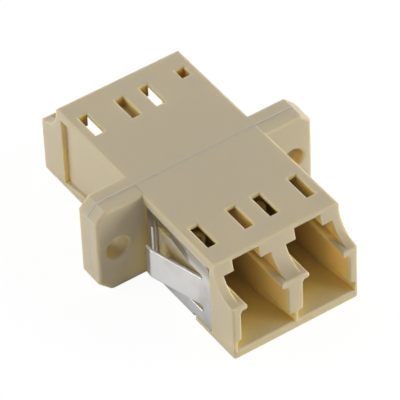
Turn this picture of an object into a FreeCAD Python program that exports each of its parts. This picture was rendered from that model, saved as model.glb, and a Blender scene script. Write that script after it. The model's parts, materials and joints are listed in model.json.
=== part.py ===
"""Duplex LC fibre adapter with a screw flange and a folded steel panel clip.

Two moulded halves meet on the middle plane. Each half has two plug ports, its
half of the flange and its half of the two sleeve holders. A split alignment
sleeve lies in each pair of holders, and a U-shaped spring clip, folded from
one steel strip, wraps the underside and both sides of the front half.

Frame, in millimetres: X runs across the two ports, Y along the plugs with the
clip end at -Y, and Z up. The origin is the middle of the underside, on the
plane where the halves meet.
"""
import FreeCAD
import Part
import math
import os

# ---- Body ---------------------------------------------------------------
body_length = 29.0
side_wall = 0.85
body_edge_round = 0.3
mouth_edge_round = 0.25
port_edge_bevel = 0.12
seam_bevel = 0.015

# ---- Ports --------------------------------------------------------------
port_pitch = 6.25
port_width = 4.75
floor_thickness = 0.95
plug_bay_height = 4.4
shelf_thickness = 0.55
latch_bay_height = 2.7
roof_thickness = 0.4
shelf_reach = 0.6
shelf_tip_round = 0.22
shelf_root_round = 0.2
web_half_thickness = 1.4
scoop_radius = 2.65

# ---- Latch blocks under the roof and the windows behind them --------------
latch_gap = 2.7
latch_block_length = 2.05
latch_block_height = 1.1
latch_window_inset = 0.05
latch_window_length = 2.85
latch_window_bevel = 0.08
short_window_length = 1.2
window_skin = 0.15

# ---- Tapered guide pocket at the foot of each mouth ---------------------------
foot_height = 1.15
foot_depth = 4.6
foot_straight = 0.3
foot_outer_wall = 0.33
foot_rib_width = 0.25
foot_round = 0.3

# ---- Flange ---------------------------------------------------------------
flange_width = 22.0
flange_half_thickness = 1.4
flange_chamfer = 1.0
flange_edge_round = 0.3
front_flange_drop = 0.04
screw_edge_distance = 2.0
screw_height = 4.35
screw_hole_diameter = 2.2
screw_hole_bevel = 0.15

# ---- Split sleeves and their holders ----------------------------------------
sleeve_outer_diameter = 1.62
sleeve_bore_diameter = 1.25
sleeve_length = 6.8
sleeve_slit = 0.35
sleeve_end_bevel = 0.08
sleeve_side_gap = 0.09
sleeve_end_gap = 0.05
holder_wall = 0.45
holder_lip_thickness = 0.5
holder_lip_hole_diameter = 1.4
holder_lead_in = 0.25
holder_tip_bevel = 0.15

# ---- Clip sheet, and the gaps round it in its pockets ---------------------------
sheet_thickness = 0.25
sheet_seat_gap = 0.02
sheet_sink = 0.05
clip_rear_gap = 0.55
clip_front_gap = 0.15
clip_top_gap = 0.12
clip_foot_gap = 0.1
strap_gap = 0.5
wrap_corner_round = 0.3
side_pocket_foot = 0.6
side_pocket_roof = 0.93
side_pocket_end_depth = 0.47
side_pocket_ramp = 1.9
rear_pocket_foot = 0.72
rear_pocket_foot_rise = 0.55
rear_pocket_foot_run = 2.8

# ---- Clip outline ------------------------------------------------------------
strap_width = 6.35
rear_strip_width = 1.15
front_strip_width = 1.05
lower_strip_width = 1.35
upper_strip_width = 1.55
clip_front_round = 0.7
clip_small_round = 0.15
bead_width = 0.4
bead_height = 0.1
bead_end_gap = 0.2

# ---- Clip tongue, its slots and the catch --------------------------------------
panel_space = 1.72
tongue_angle = 16.5
tongue_leg = 5.3
tongue_lip = 0.7
tongue_lip_angle = 5.0
tongue_bend_radius = 0.6
tongue_slot_width = 0.6
tongue_slot_run = 0.5
tongue_slot_round = 0.28
catch_setback = 1.5
catch_leg = 3.3
catch_angle = 6.5
catch_height = 1.0
catch_slot = 0.09
catch_bend_radius = 0.4

# ---- Worked out from the sizes above ------------------------------------------
# Y sizes of the front half are distances from the plane where the halves meet.
half_length = body_length / 2
body_width = port_pitch + port_width + 2 * side_wall
shelf_underside = floor_thickness + plug_bay_height
shelf_top = shelf_underside + shelf_thickness
roof_underside = shelf_top + latch_bay_height
body_height = roof_underside + roof_thickness
shelf_gap = port_width - 2 * shelf_reach
latch_block_width = (port_width - latch_gap) / 2
latch_window_width = latch_block_width - 2 * latch_window_inset
latch_offset = (port_width + latch_gap) / 4
roof_end = half_length - scoop_radius
latch_catch_plane = roof_end - latch_block_length
port_centres = (-port_pitch / 2, port_pitch / 2)
plug_axis_height = floor_thickness + plug_bay_height / 2
screw_offset = flange_width / 2 - screw_edge_distance
holder_bore_radius = sleeve_outer_diameter / 2 + sleeve_side_gap
holder_outer_radius = holder_bore_radius + holder_wall
holder_bore_end = sleeve_length / 2 + sleeve_end_gap
holder_tip = holder_bore_end + holder_lip_thickness

side_depth = sheet_thickness + sheet_seat_gap + sheet_sink
pocket_wall_x = body_width / 2 - side_depth
clip_inner_x = pocket_wall_x + sheet_seat_gap
clip_inner_z = side_depth - sheet_seat_gap
side_pocket_top = body_height - side_pocket_roof
clip_foot = side_pocket_foot + clip_foot_gap
clip_top = side_pocket_top - clip_top_gap
window_foot = clip_foot + lower_strip_width
window_top = clip_top - upper_strip_width
tongue_foot = window_foot + tongue_slot_width
tongue_top = window_top - tongue_slot_width
catch_top = window_top + catch_height

clip_rear = flange_half_thickness + clip_rear_gap
window_rear = clip_rear + rear_strip_width
bead_middle = clip_rear + rear_strip_width / 2
tongue_reach = (tongue_bend_radius + tongue_leg * math.cos(math.radians(tongue_angle))
                + tongue_lip * math.cos(math.radians(tongue_lip_angle)))
tongue_hinge = flange_half_thickness + panel_space + tongue_reach
window_front = tongue_hinge + tongue_slot_run
clip_front = window_front + front_strip_width
catch_hinge = tongue_hinge - catch_setback
side_pocket_end = clip_front + clip_front_gap
side_pocket_ramp_start = side_pocket_end - side_pocket_ramp
strap_end = clip_rear + strap_width
wrap_end = strap_end + strap_gap
beyond = 2.0 * body_height

FRONT_VIEW, SIDE_VIEW, PLAN_VIEW = "xz", "yz", "xy"
AXIS_X = FreeCAD.Vector(1, 0, 0)
AXIS_Y = FreeCAD.Vector(0, 1, 0)
AXIS_Z = FreeCAD.Vector(0, 0, 1)


# ---- Drawing helpers ------------------------------------------------------------
def lift(view, a, b, level=0.0):
    """Place a 2D point (a, b) of a view at a level along the view's normal."""
    if view == FRONT_VIEW:
        return FreeCAD.Vector(a, level, b)
    if view == SIDE_VIEW:
        return FreeCAD.Vector(level, a, b)
    return FreeCAD.Vector(a, b, level)


def outline(points, view, level=0.0):
    """Closed wire through (a, b) or (a, b, radius) points; a radius rounds its corner."""
    corners = [FreeCAD.Vector(p[0], p[1], 0) for p in points]
    arcs = {}
    ends = []
    for i, corner in enumerate(corners):
        radius = points[i][2] if len(points[i]) > 2 else 0.0
        if radius == 0.0:
            ends.append((corner, corner))
            continue
        to_last = (corners[i - 1] - corner).normalize()
        to_next = (corners[(i + 1) % len(corners)] - corner).normalize()
        half_angle = to_last.getAngle(to_next) / 2
        reach = radius / math.tan(half_angle)
        inward = (to_last + to_next).normalize()
        middle = corner + inward * (radius / math.sin(half_angle) - radius)
        ends.append((corner + to_last * reach, corner + to_next * reach))
        passed = (ends[i][0], middle, ends[i][1])
        arcs[i] = Part.Arc(*[lift(view, v.x, v.y, level) for v in passed]).toShape()
    loop = []
    for i, (_, start) in enumerate(ends):
        if i in arcs:
            loop.append(arcs[i])
        end = ends[(i + 1) % len(ends)][0]
        if start.distanceToPoint(end) > 1e-6:
            loop.append(Part.makeLine(lift(view, start.x, start.y, level),
                                      lift(view, end.x, end.y, level)))
    return Part.Wire(loop)


def prism(points, view, start, end):
    """Solid with the outline's section, from one level of the view to another."""
    face = Part.Face(outline(points, view, start))
    return face.extrude(lift(view, 0, 0, end - start))


def rectangle(a0, a1, b0, b1, radius=0.0):
    """Corner points of a rectangle, each with the same rounding."""
    return [(a0, b0, radius), (a1, b0, radius), (a1, b1, radius), (a0, b1, radius)]


def turned(points, x, z):
    """Solid turned about the line along Y at (x, z), from (radius, y) points."""
    face = Part.Face(outline(points, PLAN_VIEW))
    solid = face.revolve(FreeCAD.Vector(0, 0, 0), AXIS_Y, 360)
    solid.translate(FreeCAD.Vector(x, 0, z))
    return solid


def folded_strip(start, legs, thickness, bend_radius):
    """Plan outline of a sheet strip whose inner face follows the legs.

    start is the (x, y) of the inner face and legs are (length, heading) pairs,
    with the heading in degrees from +Y towards +X. Bends are round on both faces.
    """
    inner = [FreeCAD.Vector(start[0], start[1], 0)]
    normals = []
    for length, heading in legs:
        turn = math.radians(heading)
        inner.append(inner[-1] + FreeCAD.Vector(math.sin(turn), math.cos(turn), 0) * length)
        normals.append(FreeCAD.Vector(math.cos(turn), -math.sin(turn), 0))
    outer = [inner[0] + normals[0] * thickness]
    for before, after, point in zip(normals, normals[1:], inner[1:]):
        mitre = (before + after).normalize()
        outer.append(point + mitre * (thickness / mitre.dot(before)))
    outer.append(inner[-1] + normals[-1] * thickness)
    headings = [heading for _, heading in legs]
    bends = [0.0] + [math.copysign(1, b - a) for a, b in zip(headings, headings[1:])] + [0.0]
    points = []
    for point, bend in zip(inner, bends):
        radius = abs(bend) * (bend_radius + thickness * (bend < 0))
        points.append((point.x, point.y, radius))
    for point, bend in reversed(list(zip(outer, bends))):
        radius = abs(bend) * (bend_radius + thickness * (bend > 0))
        points.append((point.x, point.y, radius))
    return points


def both_sides(shape):
    """The shape and its mirror image across the middle of the body."""
    return [shape, shape.mirror(FreeCAD.Vector(0, 0, 0), AXIS_X)]


def edges_at(shape, test):
    """Edges whose middle point passes the test."""
    chosen = []
    for edge in shape.Edges:
        middle = edge.valueAt((edge.FirstParameter + edge.LastParameter) / 2)
        if test(edge, middle):
            chosen.append(edge)
    return chosen


# ---- One moulded half, drawn as the front half (Y from -half_length to 0) --------
def outer_shell():
    """Block with rounded edges, scooped away above the shelves at the mouth."""
    r = mouth_edge_round
    section = rectangle(-body_width / 2, body_width / 2, 0, body_height, body_edge_round)
    block = prism(section, FRONT_VIEW, -half_length, 0)
    rim = edges_at(block, lambda edge, middle: edge.BoundBox.YMax < -half_length + 0.01)
    side = [
        (-half_length, -1), (-half_length, shelf_top, r), (-roof_end, shelf_top, scoop_radius),
        (-roof_end, body_height, r), (1, body_height), (1, -1),
    ]
    return block.makeFillet(r, rim).common(prism(side, SIDE_VIEW, -body_width, body_width))


def flange_half(top):
    """Plate with cut corners and a rounded front edge, up to the given height."""
    x = flange_width / 2
    c = flange_chamfer
    section = [
        (-x + c, 0), (x - c, 0), (x, c), (x, top - c),
        (x - c, top), (-x + c, top), (-x, top - c), (-x, c),
    ]
    plate = prism(section, FRONT_VIEW, -flange_half_thickness, 0)
    rim = edges_at(plate, lambda edge, middle: middle.y < -flange_half_thickness + 0.01
                   and middle.z > 0.01)
    return plate.makeFillet(flange_edge_round, rim)


def port_section():
    """Section of a port: plug bay below, latch bay above, two shelves between."""
    w = port_width / 2
    g = shelf_gap / 2
    right = [
        (w, floor_thickness),
        (w, shelf_underside, shelf_root_round),
        (g, shelf_underside, shelf_tip_round),
        (g, shelf_top, shelf_tip_round),
        (w, shelf_top),
        (w, roof_underside),
    ]
    left = [(-p[0],) + p[1:] for p in reversed(right)]
    return right + left


def latch_block(x):
    """Block that hangs from the roof and holds a plug's latch."""
    section = rectangle(x - latch_block_width / 2, x + latch_block_width / 2,
                        roof_underside - latch_block_height, roof_underside)
    return prism(section, FRONT_VIEW, -half_length, -latch_catch_plane)


def port_cavity(x):
    """What the mould core of one port fills."""
    section = [(x + p[0],) + p[1:] for p in port_section()]
    cavity = prism(section, FRONT_VIEW, -half_length - 1, -web_half_thickness)
    blocks = [latch_block(x + side * latch_offset) for side in (-1, 1)]
    return cavity.cut(Part.Compound(blocks))


def mouth_foot():
    """Guide pocket at the foot of both mouths, which narrows to the ports' width."""
    inner = foot_rib_width / 2
    outer = body_width / 2 - foot_outer_wall
    top = floor_thickness + foot_height
    section = [
        (inner, floor_thickness), (outer, floor_thickness),
        (outer, top, foot_round), (inner, top, foot_round),
    ]
    start = -half_length - 1
    bend = -half_length + foot_straight
    end = -half_length + foot_depth
    narrowed = [
        (inner, start), (outer, start), (outer, bend),
        (body_width / 2 - side_wall, end), ((port_pitch - port_width) / 2, end), (inner, bend),
    ]
    pocket = prism(section, FRONT_VIEW, start, end)
    return both_sides(pocket.common(prism(narrowed, PLAN_VIEW, 0, body_height)))


def mouth_bevels():
    """Bevels at the mouth, along the walls beside each port and along the floor."""
    front = -half_length
    b = port_edge_bevel
    bevels = []
    for centre in port_centres:
        for side in (-1, 1):
            wall = centre + side * port_width / 2
            corner = [(wall + side * 2 * b, front - b), (wall - side * b, front + 2 * b),
                      (wall - side * b, front - b)]
            bevels.append(prism(corner, PLAN_VIEW, floor_thickness + foot_height,
                                shelf_underside - shelf_root_round))
    corner = [(front - b, floor_thickness - 2 * b), (front + 2 * b, floor_thickness + b),
              (front - b, floor_thickness + b)]
    floor = prism(corner, SIDE_VIEW, foot_rib_width / 2, body_width / 2 - foot_outer_wall)
    return bevels + both_sides(floor)


def latch_windows(short_end):
    """Windows through the roof, one right behind each latch block.

    With a short end, a thin skin closes most of the outermost window at -X.
    """
    windows = []
    start = -latch_catch_plane
    end = start + latch_window_length
    for centre in port_centres:
        for side in (-1, 1):
            x = centre + side * latch_offset
            left, right = x - latch_window_width / 2, x + latch_window_width / 2
            skinned = short_end and x < -port_pitch / 2 - latch_gap / 2
            opening = rectangle(left, right, start, start + short_window_length if skinned else end)
            windows.append(prism(opening, PLAN_VIEW, roof_underside, body_height + 1))
            if skinned:
                hollow = rectangle(left, right, start, end)
                windows.append(prism(hollow, PLAN_VIEW, roof_underside, body_height - window_skin))
    return windows


def sleeve_holder(x):
    """Barrel that reaches into the port around half of a sleeve."""
    profile = [
        (0, 0), (holder_outer_radius, 0),
        (holder_outer_radius, -holder_tip + holder_tip_bevel),
        (holder_outer_radius - holder_tip_bevel, -holder_tip), (0, -holder_tip),
    ]
    return turned(profile, x, plug_axis_height)


def sleeve_bore(x):
    """Hole for half of a sleeve, and the lip at its end, which guides a ferrule in."""
    lip = holder_lip_hole_diameter / 2
    profile = [
        (0, 1), (holder_bore_radius, 1), (holder_bore_radius, -holder_bore_end),
        (lip, -holder_bore_end), (lip + holder_lead_in, -holder_tip),
        (lip + holder_lead_in, -holder_tip - 1), (0, -holder_tip - 1),
    ]
    return turned(profile, x, plug_axis_height)


def side_pocket(foot_points):
    """Pocket in the +X side for the clip's plate; its floor falls away at the far end."""
    face_outline = foot_points + [
        (-flange_half_thickness, side_pocket_top),
        (-side_pocket_end, side_pocket_top),
    ]
    outer_x = body_width / 2 + 1
    deep_x = body_width / 2 - side_pocket_end_depth
    floor_plan = [
        (outer_x, -flange_half_thickness), (outer_x, -side_pocket_end),
        (deep_x, -side_pocket_end), (pocket_wall_x, -side_pocket_ramp_start),
        (pocket_wall_x, -flange_half_thickness),
    ]
    across = prism(face_outline, SIDE_VIEW, body_width / 4, outer_x)
    upward = prism(floor_plan, PLAN_VIEW, -1, body_height + 1)
    return across.common(upward)


def front_pockets():
    """Side pockets, the wrap under the body, and the windows for the clip's catches."""
    foot = [(-side_pocket_end, side_pocket_foot), (-flange_half_thickness, side_pocket_foot)]
    pockets = both_sides(side_pocket(foot))
    around = prism(rectangle(-body_width, body_width, -1, side_pocket_top),
                   FRONT_VIEW, -wrap_end, -flange_half_thickness)
    core = prism([(-pocket_wall_x, side_depth, wrap_corner_round),
                  (pocket_wall_x, side_depth, wrap_corner_round),
                  (pocket_wall_x, beyond), (-pocket_wall_x, beyond)],
                 FRONT_VIEW, -wrap_end - 1, 0)
    pockets.append(around.cut(core))
    catch = prism(rectangle(-catch_hinge - sheet_thickness, -window_rear,
                            window_top - catch_slot / 2, catch_top + catch_slot),
                  SIDE_VIEW, body_width / 2 - 2 * side_wall, body_width)
    return pockets + both_sides(catch)


def rear_pockets():
    """The rear half's pockets have no clip; their foot rises away from the mouth."""
    rise_start = -side_pocket_end + rear_pocket_foot_run
    raised = rear_pocket_foot + rear_pocket_foot_rise
    foot = [(-side_pocket_end, rear_pocket_foot), (rise_start, raised),
            (-flange_half_thickness, raised)]
    return both_sides(side_pocket(foot))


def screw_holes():
    """Screw hole through each ear."""
    holes = []
    for side in (-1, 1):
        start = FreeCAD.Vector(side * screw_offset, -flange_half_thickness - 1, screw_height)
        holes.append(Part.makeCylinder(screw_hole_diameter / 2, beyond, start, AXIS_Y))
    return holes


def bevel_screw_rims(half):
    """Bevel the front rim of both screw holes."""
    def is_rim(edge, middle):
        return (abs(edge.BoundBox.XLength - screw_hole_diameter) < 0.01
                and abs(middle.y + flange_half_thickness) < 0.01)
    return half.makeChamfer(screw_hole_bevel, edges_at(half, is_rim))


def bevel_latch_windows(half):
    """Bevel the upper rim of each latch window."""
    def is_rim(edge, middle):
        along = middle.y + latch_catch_plane
        return (abs(middle.z - body_height) < 0.01
                and -0.01 < along < latch_window_length + 0.01
                and abs(middle.x) < body_width / 2 - body_edge_round - 0.01)
    return half.makeChamfer(latch_window_bevel, edges_at(half, is_rim))


def bevel_seam(half):
    """Bevel the outer edges that meet the other half."""
    def is_seam(edge, middle):
        box = edge.BoundBox
        hole = abs(box.XLength - box.ZLength) < 0.01 and box.XLength > 2 * holder_wall
        return box.YMin > -0.001 and not hole
    return half.makeChamfer(seam_bevel, edges_at(half, is_seam))


def moulded_half(pockets, flange_top, short_end):
    """A half of the housing, before it is turned to its own end."""
    body = outer_shell()
    body = body.cut(Part.Compound([port_cavity(x) for x in port_centres] + mouth_foot()))
    body = body.cut(Part.Compound(mouth_bevels()))
    body = body.cut(Part.Compound(latch_windows(short_end)))
    body = body.cut(Part.Compound(pockets))
    half = body.fuse([flange_half(flange_top)] + [sleeve_holder(x) for x in port_centres])
    half = half.cut(Part.Compound([sleeve_bore(x) for x in port_centres] + screw_holes()))
    half = half.removeSplitter()
    for finish in (bevel_screw_rims, bevel_latch_windows, bevel_seam):
        half = finish(half)
    return half


# ---- Spring clip ----------------------------------------------------------------
def clip_blank():
    """Strip folded to a U around the underside, trimmed to its side outline."""
    xi, xo = clip_inner_x, clip_inner_x + sheet_thickness
    zi, zo = clip_inner_z, clip_inner_z - sheet_thickness
    ri = wrap_corner_round + sheet_seat_gap
    ro = ri + sheet_thickness
    fold = [
        (-xo, clip_top), (-xo, zo, ro), (xo, zo, ro), (xo, clip_top),
        (xi, clip_top), (xi, zi, ri), (-xi, zi, ri), (-xi, clip_top),
    ]
    folded = prism(fold, FRONT_VIEW, -clip_front, -clip_rear)
    trim = [
        (-clip_rear, -1), (-strap_end, -1), (-strap_end, clip_foot, clip_small_round),
        (-clip_front, clip_foot, clip_small_round), (-clip_front, clip_top, clip_front_round),
        (-clip_rear, clip_top, clip_small_round),
    ]
    return folded.common(prism(trim, SIDE_VIEW, -body_width, body_width))


def clip_window():
    """Opening around the tongue, with a slot on each side of its root."""
    r = tongue_slot_round
    shape = [
        (-window_rear, window_foot, r), (-window_front, window_foot, r),
        (-window_front, tongue_foot, r), (-tongue_hinge, tongue_foot),
        (-tongue_hinge, tongue_top), (-window_front, tongue_top, r),
        (-window_front, window_top, r), (-catch_hinge, window_top),
        (-catch_hinge, catch_top + catch_slot), (-window_rear, catch_top + catch_slot, r),
    ]
    return prism(shape, SIDE_VIEW, -body_width, body_width)


def clip_bead():
    """Upright bead pressed outward in the strip behind the window: its ridge and its hollow."""
    radius = (bead_width ** 2 / 4 + bead_height ** 2) / (2 * bead_height)
    length = window_top - tongue_foot - bead_end_gap
    rolls = []
    for face in (clip_inner_x + sheet_thickness, clip_inner_x):
        centre = FreeCAD.Vector(face + bead_height - radius, -bead_middle, tongue_foot)
        rolls.append(Part.makeCylinder(radius, length, centre, AXIS_Z))
    return rolls


def clip_tongue():
    """Tongue that springs outward and holds the panel against the flange."""
    root = tongue_bend_radius
    legs = [(root, 0), (tongue_leg, tongue_angle), (tongue_lip, -tongue_lip_angle)]
    plan = folded_strip((clip_inner_x, -tongue_hinge - root), legs, sheet_thickness,
                        tongue_bend_radius)
    return prism(plan, PLAN_VIEW, tongue_foot, tongue_top)


def clip_catch():
    """Tab lanced inward, which grips the edge of its window in the housing."""
    root = catch_bend_radius
    legs = [(root, 0), (catch_leg, -catch_angle)]
    plan = folded_strip((clip_inner_x, -catch_hinge - root), legs, sheet_thickness,
                        catch_bend_radius)
    return prism(plan, PLAN_VIEW, window_top, catch_top)


def spring_clip():
    """The whole clip: folded blank, two windows, two tongues, two catches and two beads."""
    ridge, hollow = clip_bead()
    outside = prism(rectangle(clip_inner_x + sheet_thickness, body_width, -body_width, 0),
                    PLAN_VIEW, 0, body_height)
    tabs = both_sides(clip_tongue()) + both_sides(clip_catch()) + both_sides(ridge.common(outside))
    blank = clip_blank().cut(clip_window()).fuse(tabs)
    return blank.cut(Part.Compound(both_sides(hollow))).removeSplitter()


# ---- Alignment sleeves -------------------------------------------------------------
def split_sleeve(x):
    """Thin tube with a full-length slit and chamfered ends."""
    outer = sleeve_outer_diameter / 2
    bore = sleeve_bore_diameter / 2
    end = sleeve_length / 2
    c = sleeve_end_bevel
    profile = [
        (bore, -end), (outer - c, -end), (outer, -end + c),
        (outer, end - c), (outer - c, end), (bore, end),
    ]
    slit = Part.makeBox(sleeve_slit, sleeve_length + 2, outer + 1,
                        FreeCAD.Vector(x - sleeve_slit / 2, -end - 1, plug_axis_height))
    return turned(profile, x, plug_axis_height).cut(slit)


def build_nodes():
    """Every piece under its node's name."""
    rear = moulded_half(rear_pockets(), body_height, True)
    rear.rotate(FreeCAD.Vector(0, 0, 0), AXIS_Z, 180)
    return {
        "housing_front": moulded_half(front_pockets(), body_height - front_flange_drop, False),
        "housing_rear": rear,
        "spring_clip": spring_clip(),
        "sleeve_left": split_sleeve(port_centres[0]),
        "sleeve_right": split_sleeve(port_centres[1]),
    }


def main():
    """Write one STEP file for each piece."""
    os.makedirs("parts", exist_ok=True)
    for name, shape in build_nodes().items():
        solids = shape.Solids
        print(name, "solids", len(solids), "valid", shape.isValid(),
              "volume", round(shape.Volume, 3), "faces", len(shape.Faces))
        solids[0].exportStep("parts/" + name + ".step")


main()
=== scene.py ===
"""Looks, light and camera for a flanged duplex LC fibre adapter.

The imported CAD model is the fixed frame. This script dresses its nodes, shows a copy
of each housing half with clean ledge lips, and sets up a plain studio. All sizes are
in metres.
"""

import json
import logging
import math
from dataclasses import dataclass, field
from enum import Enum

import bpy
import numpy as np
from mathutils import Matrix, Vector

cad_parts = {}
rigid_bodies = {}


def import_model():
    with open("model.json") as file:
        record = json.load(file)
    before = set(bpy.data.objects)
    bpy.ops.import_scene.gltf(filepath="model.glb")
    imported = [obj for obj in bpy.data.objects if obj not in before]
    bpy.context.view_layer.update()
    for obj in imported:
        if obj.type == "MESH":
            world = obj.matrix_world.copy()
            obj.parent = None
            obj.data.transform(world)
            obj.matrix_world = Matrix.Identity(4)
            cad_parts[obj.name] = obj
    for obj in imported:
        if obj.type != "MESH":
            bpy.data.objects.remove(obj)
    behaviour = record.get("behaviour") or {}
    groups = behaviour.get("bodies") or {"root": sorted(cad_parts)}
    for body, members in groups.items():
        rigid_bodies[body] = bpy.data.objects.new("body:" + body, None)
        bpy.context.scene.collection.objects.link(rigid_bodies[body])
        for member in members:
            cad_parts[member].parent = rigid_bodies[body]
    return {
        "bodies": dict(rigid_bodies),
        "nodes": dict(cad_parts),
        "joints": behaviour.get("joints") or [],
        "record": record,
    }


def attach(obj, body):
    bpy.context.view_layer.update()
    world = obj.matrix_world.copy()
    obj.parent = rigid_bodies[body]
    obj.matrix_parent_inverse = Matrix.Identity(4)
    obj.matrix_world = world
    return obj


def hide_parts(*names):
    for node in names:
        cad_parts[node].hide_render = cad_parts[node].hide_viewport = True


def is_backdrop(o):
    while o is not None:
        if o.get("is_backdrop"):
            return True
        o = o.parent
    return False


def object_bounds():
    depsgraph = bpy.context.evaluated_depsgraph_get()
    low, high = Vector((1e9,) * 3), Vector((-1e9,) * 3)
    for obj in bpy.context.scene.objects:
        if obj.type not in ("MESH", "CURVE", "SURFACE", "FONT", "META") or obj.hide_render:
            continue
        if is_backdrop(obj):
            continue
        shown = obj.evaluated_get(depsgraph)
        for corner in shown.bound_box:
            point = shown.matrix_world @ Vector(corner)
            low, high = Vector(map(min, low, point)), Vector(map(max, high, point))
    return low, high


LOG = logging.getLogger("adapter")
MM = 0.001
EDGE_RADIUS = 0.11 * MM
EDGE_SAMPLES = 6
HOLLOW_SAMPLES = 8


class Port(Enum):
    """The two plug lines, by the side of the middle plane that they lie on."""

    LEFT = -1
    RIGHT = 1


def outward(azimuth: float, elevation: float) -> Vector:
    """Unit vector from the object towards a viewing angle.

    Args:
        azimuth: Angle round the object in degrees, 0 from -Y.
        elevation: Angle above the horizon in degrees.

    Returns:
        The vector.
    """
    turn, rise = math.radians(azimuth), math.radians(elevation)
    return Vector((math.sin(turn) * math.cos(rise), -math.cos(turn) * math.cos(rise),
                   math.sin(rise)))


# ---- Shader node groups ------------------------------------------------------------
def new_group(name: str, inputs: dict[str, float], outputs: dict[str, str]) -> bpy.types.NodeTree:
    """Make an empty shader node group with number inputs.

    Args:
        name: Name of the group.
        inputs: Default value of each number input.
        outputs: Socket type of each output.

    Returns:
        The group, with a Group Input and a Group Output node.
    """
    group = bpy.data.node_groups.new(name, "ShaderNodeTree")
    for label, value in inputs.items():
        socket = group.interface.new_socket(label, in_out="INPUT", socket_type="NodeSocketFloat")
        socket.default_value = value
    for label, kind in outputs.items():
        group.interface.new_socket(label, in_out="OUTPUT", socket_type=kind)
    group.nodes.new("NodeGroupInput").name = "in"
    group.nodes.new("NodeGroupOutput").name = "out"
    return group


def add_node(tree: bpy.types.NodeTree, kind: str, **settings: object) -> bpy.types.Node:
    """Add a node and set its properties.

    Args:
        tree: Node tree that gets the node.
        kind: Blender's type name for the node.
        settings: Property names and values.

    Returns:
        The new node.
    """
    node = tree.nodes.new(kind)
    for key, value in settings.items():
        setattr(node, key, value)
    return node


def grain_group() -> bpy.types.NodeTree:
    """Fine even grain in object space: a height, and a slow drift that tints a surface."""
    group = new_group("fine_grain", {"Grains per metre": 9000.0, "Drift per metre": 160.0},
                      {"Height": "NodeSocketFloat", "Drift": "NodeSocketFloat"})
    links = group.links
    place = add_node(group, "ShaderNodeTexCoord")
    grain = add_node(group, "ShaderNodeTexNoise")
    grain.inputs["Detail"].default_value = 3.0
    grain.inputs["Roughness"].default_value = 0.55
    drift = add_node(group, "ShaderNodeTexNoise")
    drift.inputs["Detail"].default_value = 2.0
    source = group.nodes["in"]
    for noise, label in ((grain, "Grains per metre"), (drift, "Drift per metre")):
        links.new(place.outputs["Object"], noise.inputs["Vector"])
        links.new(source.outputs[label], noise.inputs["Scale"])
    links.new(grain.outputs["Fac"], group.nodes["out"].inputs["Height"])
    links.new(drift.outputs["Fac"], group.nodes["out"].inputs["Drift"])
    return group


def edge_group() -> bpy.types.NodeTree:
    """Softened edges: a rounded normal, and a mask that is 1 along the edges.

    The mask is one minus the cosine between the rounded and the true normal, times
    the gain. Within the joint's half width of the plane y = 0, where the two halves
    are welded, the true normal stays and the mask is 0. The seam is 1 on that plane
    and falls evenly to 0 at the joint's half width.
    """
    group = new_group("soft_edges", {"Gain": 6.0, "Joint": 0.0},
                      {"Mask": "NodeSocketFloat", "Seam": "NodeSocketFloat",
                       "Normal": "NodeSocketVector"})
    links = group.links
    source = group.nodes["in"]
    bevel = add_node(group, "ShaderNodeBevel", samples=EDGE_SAMPLES)
    bevel.inputs["Radius"].default_value = EDGE_RADIUS
    true_normal = add_node(group, "ShaderNodeNewGeometry")
    place = add_node(group, "ShaderNodeTexCoord")
    split = add_node(group, "ShaderNodeSeparateXYZ")
    across = add_node(group, "ShaderNodeMath", operation="ABSOLUTE")
    away = add_node(group, "ShaderNodeMath", operation="GREATER_THAN")
    normal = add_node(group, "ShaderNodeMix", data_type="VECTOR")
    cosine = add_node(group, "ShaderNodeVectorMath", operation="DOT_PRODUCT")
    fall = add_node(group, "ShaderNodeMath", operation="SUBTRACT")
    fall.inputs[0].default_value = 1.0
    gain = add_node(group, "ShaderNodeMath", operation="MULTIPLY", use_clamp=True)
    links.new(place.outputs["Object"], split.inputs["Vector"])
    links.new(split.outputs["Y"], across.inputs[0])
    links.new(across.outputs["Value"], away.inputs[0])
    links.new(source.outputs["Joint"], away.inputs[1])
    seam = add_node(group, "ShaderNodeMapRange")
    seam.inputs["To Min"].default_value = 1.0
    seam.inputs["To Max"].default_value = 0.0
    links.new(across.outputs["Value"], seam.inputs["Value"])
    links.new(source.outputs["Joint"], seam.inputs["From Max"])
    links.new(seam.outputs["Result"], group.nodes["out"].inputs["Seam"])
    links.new(away.outputs["Value"], normal.inputs["Factor"])
    links.new(true_normal.outputs["Normal"], normal.inputs["A"])
    links.new(bevel.outputs["Normal"], normal.inputs["B"])
    links.new(normal.outputs["Result"], cosine.inputs[0])
    links.new(true_normal.outputs["Normal"], cosine.inputs[1])
    links.new(cosine.outputs["Value"], fall.inputs[1])
    links.new(fall.outputs["Value"], gain.inputs[0])
    links.new(source.outputs["Gain"], gain.inputs[1])
    links.new(gain.outputs["Value"], group.nodes["out"].inputs["Mask"])
    links.new(normal.outputs["Result"], group.nodes["out"].inputs["Normal"])
    return group


# ---- Finishes -----------------------------------------------------------------------
@dataclass(frozen=True)
class Finish:
    """Shared parts of every finish."""

    name: str
    colour: tuple[float, float, float]
    roughness: float

    def start(self) -> tuple[bpy.types.Material, bpy.types.NodeTree, bpy.types.Node]:
        """Make the material with its shader.

        Returns:
            The material, its node tree and its Principled BSDF.
        """
        material = bpy.data.materials.new(self.name)
        material.use_nodes = True
        material.diffuse_color = (*self.colour, 1.0)
        shader = material.node_tree.nodes["Principled BSDF"]
        shader.inputs["Base Color"].default_value = (*self.colour, 1.0)
        shader.inputs["Roughness"].default_value = self.roughness
        return material, material.node_tree, shader


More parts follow.
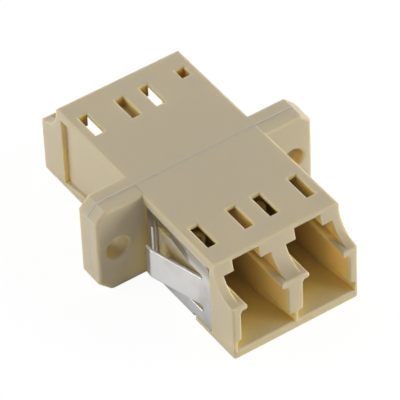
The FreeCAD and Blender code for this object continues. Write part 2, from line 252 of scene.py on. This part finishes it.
def add_bump(tree: bpy.types.NodeTree, shader: bpy.types.Node, grain: bpy.types.Node,
             strength: float, depth: float, edges: bpy.types.Node | None = None) -> None:
    """Feed the grain's height, over the softened edges if any, to the shader's normal.

    Args:
        tree: The material's node tree.
        shader: Its Principled BSDF.
        grain: The fine grain group node.
        strength: Strength of the bump.
        depth: Height of the grain.
        edges: The soft edges group node.
    """
    bump = add_node(tree, "ShaderNodeBump")
    bump.inputs["Strength"].default_value = strength
    bump.inputs["Distance"].default_value = depth
    tree.links.new(grain.outputs["Height"], bump.inputs["Height"])
    if edges is not None:
        tree.links.new(edges.outputs["Normal"], bump.inputs["Normal"])
    tree.links.new(bump.outputs["Normal"], shader.inputs["Normal"])


@dataclass(frozen=True)
class MouldedPlastic(Finish):
    """Satin moulded plastic that lets a little warm light through its thin walls.

    The openness of a point, from 0 to 1 within the hollow's reach, picks its colour
    along four stops, from deep in a port to open: painted shade deep in the ports, then a
    painted warm glow in the hollows that stands in for light through the walls, then the
    plastic's own colour. Outside the body openness counts for more, so less is painted
    there. Lighter colours along the edges and the parting line are painted highlights.
    """

    glow_colour: tuple[float, float, float] = (0.95, 0.75, 0.30)
    painted_hollow_glow_colour: tuple[float, float, float] = (0.96, 0.71, 0.26)
    painted_deep_shade_colour: tuple[float, float, float] = (0.38, 0.27, 0.12)
    painted_edge_highlight_colour: tuple[float, float, float] = (0.64, 0.59, 0.43)
    stops: tuple[float, ...] = (0.05, 0.17, 0.38, 0.54)
    drift_span: tuple[float, float] = (0.97, 1.03)
    bump_strength: float = 0.12
    bump_depth: float = 0.02 * MM
    scatter_share: float = 0.75
    scatter_radius: tuple[float, float, float] = (1.0, 0.85, 0.45)
    scatter_depth: float = 1.0 * MM
    gloss: float = 0.35
    hollow_reach: float = 12.0 * MM
    painted_seam_highlight_colour: tuple[float, float, float] = (0.76, 0.66, 0.46)
    joint_width: float = 0.3 * MM
    outside_from: float = 5.8 * MM
    outside_gain: float = 0.8

    def build(self, groups: dict[str, bpy.types.NodeTree]) -> bpy.types.Material:
        """Build the material.

        Args:
            groups: The shared node groups by name.

        Returns:
            The finished material.
        """
        material, tree, shader = self.start()
        links = tree.links
        grain = add_node(tree, "ShaderNodeGroup", node_tree=groups["grain"])
        edges = add_node(tree, "ShaderNodeGroup", node_tree=groups["edges"])
        edges.inputs["Joint"].default_value = self.joint_width / 2
        # Colour by openness: painted shade deep in the ports and a painted warm glow in the
        # hollows, in place of light that passes through the thin walls.
        hollow = add_node(tree, "ShaderNodeAmbientOcclusion", samples=HOLLOW_SAMPLES)
        hollow.inputs["Distance"].default_value = self.hollow_reach
        ramp = add_node(tree, "ShaderNodeValToRGB")
        colours = (self.painted_deep_shade_colour, self.painted_hollow_glow_colour, self.glow_colour, self.colour)
        while len(ramp.color_ramp.elements) < len(colours):
            ramp.color_ramp.elements.new(0.5)
        for stop, position, colour in zip(ramp.color_ramp.elements, self.stops, colours):
            stop.position = position
            stop.color = (*colour, 1.0)
        # Past outside_from across x the openness is raised, so the outer faces and the clip's
        # pocket get less of the painted shade and glow.
        place = add_node(tree, "ShaderNodeTexCoord")
        split = add_node(tree, "ShaderNodeSeparateXYZ")
        across = add_node(tree, "ShaderNodeMath", operation="ABSOLUTE")
        outside = add_node(tree, "ShaderNodeMath", operation="GREATER_THAN")
        outside.inputs[1].default_value = self.outside_from
        opened = add_node(tree, "ShaderNodeMath", operation="MULTIPLY_ADD")
        opened.inputs[1].default_value = self.outside_gain
        opened.inputs[2].default_value = 1.0
        level = add_node(tree, "ShaderNodeMath", operation="MULTIPLY")
        links.new(place.outputs["Object"], split.inputs["Vector"])
        links.new(split.outputs["X"], across.inputs[0])
        links.new(across.outputs["Value"], outside.inputs[0])
        links.new(outside.outputs["Value"], opened.inputs[0])
        links.new(opened.outputs["Value"], level.inputs[0])
        links.new(hollow.outputs["AO"], level.inputs[1])
        links.new(level.outputs["Value"], ramp.inputs["Fac"])
        # Painted highlight along the rounded edges, lighter where the edge mask is high.
        rim = add_node(tree, "ShaderNodeMix", data_type="RGBA")
        rim.inputs["B"].default_value = (*self.painted_edge_highlight_colour, 1.0)
        links.new(ramp.outputs["Color"], rim.inputs["A"])
        links.new(edges.outputs["Mask"], rim.inputs["Factor"])
        # Painted highlight along the parting line at y = 0, where a small step between the halves
        # catches the light.
        weld = add_node(tree, "ShaderNodeMix", data_type="RGBA")
        weld.inputs["B"].default_value = (*self.painted_seam_highlight_colour, 1.0)
        links.new(rim.outputs["Result"], weld.inputs["A"])
        links.new(edges.outputs["Seam"], weld.inputs["Factor"])
        tint = add_node(tree, "ShaderNodeHueSaturation")
        drift = add_node(tree, "ShaderNodeMapRange")
        drift.inputs["To Min"].default_value, drift.inputs["To Max"].default_value = self.drift_span
        links.new(grain.outputs["Drift"], drift.inputs["Value"])
        links.new(drift.outputs["Result"], tint.inputs["Value"])
        links.new(weld.outputs["Result"], tint.inputs["Color"])
        links.new(tint.outputs["Color"], shader.inputs["Base Color"])
        add_bump(tree, shader, grain, self.bump_strength, self.bump_depth, edges)
        shader.inputs["Subsurface Weight"].default_value = self.scatter_share
        shader.inputs["Subsurface Radius"].default_value = self.scatter_radius
        shader.inputs["Subsurface Scale"].default_value = self.scatter_depth
        shader.inputs["Specular IOR Level"].default_value = self.gloss
        return material


@dataclass(frozen=True)
class SpringSteel(Finish):
    """Bright rolled strip with a faint mottle, and a painted reflection that makes it darker and
    browner towards its top edge.
    """

    line_colour: tuple[float, float, float] = (0.53, 0.515, 0.49)
    painted_reflection_colour: tuple[float, float, float] = (0.42, 0.38, 0.325)
    painted_reflection_from: float = 6.4 * MM
    painted_reflection_to: float = 7.2 * MM
    grain_scale: float = 2600.0
    mottle_scale: float = 420.0
    mottle_span: tuple[float, float] = (0.25, 0.55)
    bump_strength: float = 0.06
    bump_depth: float = 0.02 * MM

    def build(self, groups: dict[str, bpy.types.NodeTree]) -> bpy.types.Material:
        """Build the material.

        Args:
            groups: The shared node groups by name.

        Returns:
            The finished material.
        """
        material, tree, shader = self.start()
        links = tree.links
        shader.inputs["Metallic"].default_value = 1.0
        grain = add_node(tree, "ShaderNodeGroup", node_tree=groups["grain"])
        grain.inputs["Grains per metre"].default_value = self.grain_scale
        grain.inputs["Drift per metre"].default_value = self.mottle_scale
        edges = add_node(tree, "ShaderNodeGroup", node_tree=groups["edges"])
        tone = add_node(tree, "ShaderNodeMix", data_type="RGBA")
        tone.inputs["A"].default_value = (*self.line_colour, 1.0)
        tone.inputs["B"].default_value = (*self.colour, 1.0)
        spread = add_node(tree, "ShaderNodeMapRange")
        spread.inputs["From Min"].default_value = self.mottle_span[0]
        spread.inputs["From Max"].default_value = self.mottle_span[1]
        links.new(grain.outputs["Drift"], spread.inputs["Value"])
        links.new(spread.outputs["Result"], tone.inputs["Factor"])
        # Painted reflection: towards the top edge the strip is mixed to a darker brownish colour,
        # standing in for the shaded housing that it mirrors.
        place = add_node(tree, "ShaderNodeTexCoord")
        split = add_node(tree, "ShaderNodeSeparateXYZ")
        height = add_node(tree, "ShaderNodeMapRange")
        height.inputs["From Min"].default_value = self.painted_reflection_from
        height.inputs["From Max"].default_value = self.painted_reflection_to
        painted_reflection_mix = add_node(tree, "ShaderNodeMix", data_type="RGBA")
        painted_reflection_mix.inputs["B"].default_value = (*self.painted_reflection_colour, 1.0)
        links.new(place.outputs["Object"], split.inputs["Vector"])
        links.new(split.outputs["Z"], height.inputs["Value"])
        links.new(height.outputs["Result"], painted_reflection_mix.inputs["Factor"])
        links.new(tone.outputs["Result"], painted_reflection_mix.inputs["A"])
        links.new(painted_reflection_mix.outputs["Result"], shader.inputs["Base Color"])
        add_bump(tree, shader, grain, self.bump_strength, self.bump_depth, edges)
        return material


@dataclass(frozen=True)
class DrawnBronze(Finish):
    """Phosphor bronze tube with a fine drawn grain."""

    bump_strength: float = 0.1
    bump_depth: float = 0.01 * MM

    def build(self, groups: dict[str, bpy.types.NodeTree]) -> bpy.types.Material:
        """Build the material.

        Args:
            groups: The shared node groups by name.

        Returns:
            The finished material.
        """
        material, tree, shader = self.start()
        shader.inputs["Metallic"].default_value = 1.0
        grain = add_node(tree, "ShaderNodeGroup", node_tree=groups["grain"])
        add_bump(tree, shader, grain, self.bump_strength, self.bump_depth)
        return material


# ---- Sub-assemblies ------------------------------------------------------------------
def paint(piece: bpy.types.Object, material: bpy.types.Material) -> None:
    """Give a piece one material on all its faces."""
    piece.data.materials.clear()
    piece.data.materials.append(material)


@dataclass
class Housing:
    """Both moulded halves, shown as copies with clean ledge lips.

    In the CAD a skin of up to a hundredth of a millimetre lies over the rounded lip
    of each ledge. In the copies it is folded back to where the round ends.
    """

    nodes: tuple[str, ...] = ("housing_front", "housing_rear")
    slot: str = "housing_plastic"
    lip_start: float = 14.25 * MM
    shelf_top: float = 5.9 * MM
    height_slack: float = 0.00005 * MM
    least_area: float = 1.0e-13

    def folded(self, source: bpy.types.Mesh, name: str) -> bpy.types.Mesh:
        """Copy a half's triangles, merged, with the skin folded back.

        A point of the skin lies past the lip's start and not below the ledge's top. Its
        distance from the seam becomes the lip's start, on its own side. Triangles that
        this leaves with no area are dropped, and each corner keeps its normal.

        Args:
            source: The node's mesh, which stays as it is.
            name: Name of the copy.

        Returns:
            The new mesh.
        """
        points = np.empty(len(source.vertices) * 3)
        source.vertices.foreach_get("co", points)
        points = points.reshape(-1, 3)
        corners = np.empty(len(source.loops), dtype=np.int32)
        source.loops.foreach_get("vertex_index", corners)
        normals = np.empty(len(source.loops) * 3)
        source.corner_normals.foreach_get("vector", normals)
        skin = ((np.abs(points[:, 1]) > self.lip_start)
                & (points[:, 2] > self.shelf_top - self.height_slack))
        points[skin, 1] = np.sign(points[skin, 1]) * self.lip_start
        merged, index = np.unique(np.round(points, 8), axis=0, return_inverse=True)
        triangles = index.reshape(-1)[corners].reshape(-1, 3)
        a, b, c = (merged[triangles[:, k]] for k in range(3))
        kept = np.linalg.norm(np.cross(b - a, c - a), axis=1) / 2 > self.least_area
        mesh = bpy.data.meshes.new(name)
        mesh.from_pydata(merged.tolist(), [], triangles[kept].tolist())
        mesh.polygons.foreach_set("use_smooth", np.ones(int(kept.sum()), dtype=bool))
        mesh.normals_split_custom_set(normals.reshape(-1, 3, 3)[kept].reshape(-1, 3).tolist())
        LOG.info("%s: %d points folded, %d of %d triangles kept",
                 name, int(skin.sum()), int(kept.sum()), len(kept))
        return mesh

    def build(self, frame: dict) -> list[bpy.types.Object]:
        """Make the shown copy of each half.

        Args:
            frame: The loaded frame.

        Returns:
            The two copies, each standing for its node.
        """
        shown = []
        for node in self.nodes:
            name = node + "_shown"
            piece = bpy.data.objects.new(name, self.folded(frame["nodes"][node].data, name))
            bpy.context.scene.collection.objects.link(piece)
            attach(piece, "root")
            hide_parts(node)
            shown.append(piece)
        return shown

    def dress(self, shown: list[bpy.types.Object], frame: dict,
              plastic: bpy.types.Material) -> None:
        """Give the copies, and the nodes behind them, their finish.

        Args:
            shown: The two copies.
            frame: The loaded frame.
            plastic: The housing's finish.
        """
        for piece in shown + [frame["nodes"][node] for node in self.nodes]:
            paint(piece, plastic)
            LOG.info("dressed %s", piece.name)


@dataclass
class PanelClip:
    """The folded spring clip."""

    node: str = "spring_clip"

    def dress(self, frame: dict, steel: bpy.types.Material) -> None:
        """Give the clip its finish.

        Args:
            frame: The loaded frame.
            steel: The clip's finish.
        """
        paint(frame["nodes"][self.node], steel)
        LOG.info("dressed %s", self.node)


@dataclass
class AlignmentSleeve:
    """One split sleeve."""

    port: Port

    @property
    def node(self) -> str:
        """Name of the sleeve's CAD node."""
        return "sleeve_" + self.port.name.lower()

    def dress(self, frame: dict, bronze: bpy.types.Material) -> None:
        """Give the sleeve its finish.

        Args:
            frame: The loaded frame.
            bronze: The sleeve's finish.
        """
        paint(frame["nodes"][self.node], bronze)
        LOG.info("dressed %s", self.node)


@dataclass
class Studio:
    """Floor, soft lamps and camera."""

    azimuth: float = -32.593
    elevation: float = 43.888
    roll: float = -2.700
    aim: tuple[float, float, float] = (-2.807 * MM, -4.792 * MM, 9.0 * MM)
    distance: float = 342.646 * MM
    lens: float = 370.5
    floor_span: float = 1.2
    shade_reach: float = 4.0 * MM
    lamp_span: float = 0.5
    lamp_distance: float = 0.55
    lamps: tuple[tuple[float, float, float], ...] = field(
        default=((57.0, 12.0, 3.8), (-122.0, 12.0, 2.75), (147.0, 14.0, 1.2)))
    horizon_strength: float = 0.55
    zenith_strength: float = 0.14
    sky_span: tuple[float, float] = (0.1, 0.9)
    floor_white: tuple[float, float, float] = (0.9, 0.9, 0.9)
    floor_glow: float = 1.06
    floor_share: float = 0.88

    def axes(self) -> tuple[Vector, Vector, Vector]:
        """Unit vectors to the right, up and back of the camera."""
        turn, tilt = math.radians(self.azimuth), math.radians(self.roll)
        back = outward(self.azimuth, self.elevation)
        level = Vector((math.cos(turn), math.sin(turn), 0.0))
        up = back.cross(level)
        right = math.cos(tilt) * level + math.sin(tilt) * up
        return right, back.cross(right), back

    def place_camera(self) -> None:
        """Put a long-lens camera at the viewing angle."""
        right, up, back = self.axes()
        camera = bpy.data.objects.new("camera", bpy.data.cameras.new("camera"))
        camera.data.lens = self.lens
        camera.data.sensor_width = 36.0
        camera.data.clip_start = 0.01
        camera.data.clip_end = 10.0
        turn = Matrix((right, up, back)).transposed().to_4x4()
        turn.translation = Vector(self.aim) + back * self.distance
        camera.matrix_world = turn
        bpy.context.scene.collection.objects.link(camera)
        bpy.context.scene.camera = camera

    def place_lamps(self) -> None:
        """Stand large square lamps round the object, each facing it."""
        for index, (azimuth, elevation, strength) in enumerate(self.lamps):
            out = outward(azimuth, elevation)
            data = bpy.data.lights.new("lamp_%d" % index, "AREA")
            data.shape = "SQUARE"
            data.size = self.lamp_span
            data.energy = strength
            lamp = bpy.data.objects.new(data.name, data)
            lamp.matrix_world = (Matrix.Translation(out * self.lamp_distance)
                                 @ out.to_track_quat("Z", "Y").to_matrix().to_4x4())
            bpy.context.scene.collection.objects.link(lamp)

    def light_sky(self) -> None:
        """Sky that lights less from overhead, and is white where it is seen or mirrored."""
        world = bpy.data.worlds.new("sky")
        world.use_nodes = True
        bpy.context.scene.world = world
        tree = world.node_tree
        sky = tree.nodes["Background"]
        sky.inputs["Color"].default_value = (1.0, 1.0, 1.0, 1.0)
        path = add_node(tree, "ShaderNodeLightPath")
        seen = add_node(tree, "ShaderNodeMath", operation="MAXIMUM")
        either = add_node(tree, "ShaderNodeMath", operation="MAXIMUM")
        tree.links.new(path.outputs["Is Camera Ray"], seen.inputs[0])
        tree.links.new(path.outputs["Is Glossy Ray"], seen.inputs[1])
        tree.links.new(seen.outputs["Value"], either.inputs[0])
        tree.links.new(path.outputs["Is Transmission Ray"], either.inputs[1])
        place = add_node(tree, "ShaderNodeTexCoord")
        split = add_node(tree, "ShaderNodeSeparateXYZ")
        tree.links.new(place.outputs["Generated"], split.inputs["Vector"])
        glow = add_node(tree, "ShaderNodeMapRange", interpolation_type="SMOOTHSTEP")
        glow.inputs["From Min"].default_value = self.sky_span[0]
        glow.inputs["From Max"].default_value = self.sky_span[1]
        glow.inputs["To Min"].default_value = self.horizon_strength
        glow.inputs["To Max"].default_value = self.zenith_strength
        tree.links.new(split.outputs["Z"], glow.inputs["Value"])
        level = add_node(tree, "ShaderNodeMix", data_type="FLOAT")
        level.inputs["B"].default_value = 1.0
        tree.links.new(glow.outputs["Result"], level.inputs["A"])
        tree.links.new(either.outputs["Value"], level.inputs["Factor"])
        tree.links.new(level.outputs["Result"], sky.inputs["Strength"])

    def lay_floor(self, low: float) -> None:
        """Lay a white floor that still takes a soft shadow.

        Args:
            low: Height of the floor.
        """
        half = self.floor_span / 2
        corners = [(-half, -half, low), (half, -half, low), (half, half, low), (-half, half, low)]
        mesh = bpy.data.meshes.new("floor")
        mesh.from_pydata(corners, [], [(0, 1, 2, 3)])
        floor = bpy.data.objects.new("floor", mesh)
        bpy.context.scene.collection.objects.link(floor)
        material = bpy.data.materials.new("floor_white")
        material.use_nodes = True
        tree = material.node_tree
        shader = tree.nodes["Principled BSDF"]
        shader.inputs["Base Color"].default_value = (*self.floor_white, 1.0)
        shader.inputs["Roughness"].default_value = 1.0
        shader.inputs["Specular IOR Level"].default_value = 0.0
        glow = add_node(tree, "ShaderNodeEmission")
        glow.inputs["Strength"].default_value = self.floor_glow
        path = add_node(tree, "ShaderNodeLightPath")
        shade = add_node(tree, "ShaderNodeAmbientOcclusion", samples=HOLLOW_SAMPLES)
        shade.inputs["Distance"].default_value = self.shade_reach
        tone = add_node(tree, "ShaderNodeMix", data_type="RGBA")
        tone.inputs["A"].default_value = (1.0, 1.0, 1.0, 1.0)
        tree.links.new(path.outputs["Is Glossy Ray"], tone.inputs["Factor"])
        tree.links.new(shade.outputs["Color"], tone.inputs["B"])
        tree.links.new(tone.outputs["Result"], glow.inputs["Color"])
        share = add_node(tree, "ShaderNodeMath", operation="MULTIPLY")
        share.inputs[1].default_value = self.floor_share
        seen = add_node(tree, "ShaderNodeMath", operation="MAXIMUM")
        tree.links.new(path.outputs["Is Camera Ray"], seen.inputs[0])
        tree.links.new(path.outputs["Is Glossy Ray"], seen.inputs[1])
        tree.links.new(seen.outputs["Value"], share.inputs[0])
        mix = add_node(tree, "ShaderNodeMixShader")
        tree.links.new(share.outputs["Value"], mix.inputs["Fac"])
        tree.links.new(shader.outputs["BSDF"], mix.inputs[1])
        tree.links.new(glow.outputs["Emission"], mix.inputs[2])
        tree.links.new(mix.outputs["Shader"], tree.nodes["Material Output"].inputs["Surface"])
        paint(floor, material)
        floor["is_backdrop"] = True

    def build(self, low: float) -> None:
        """Set up the whole studio over a floor at the given height."""
        self.place_camera()
        self.place_lamps()
        self.light_sky()
        self.lay_floor(low)
        bpy.context.scene.view_settings.view_transform = "Standard"


def main() -> None:
    """Load the frame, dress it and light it."""
    logging.basicConfig(level=logging.INFO, format="%(message)s")
    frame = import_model()
    cad_box = [list(corner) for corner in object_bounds()]
    groups = {"grain": grain_group(), "edges": edge_group()}
    plastic = MouldedPlastic("housing_plastic_satin", (0.57, 0.49, 0.335), 0.5).build(groups)
    steel = SpringSteel("clip_steel_bright", (0.68, 0.665, 0.645), 0.32).build(groups)
    bronze = DrawnBronze("sleeve_bronze_drawn", (0.70, 0.42, 0.22), 0.3).build(groups)
    housing = Housing()
    housing.dress(housing.build(frame), frame, plastic)
    PanelClip().dress(frame, steel)
    for port in Port:
        AlignmentSleeve(port).dress(frame, bronze)
    Studio().build(cad_box[0][2])


if __name__ == "__main__":
    main()
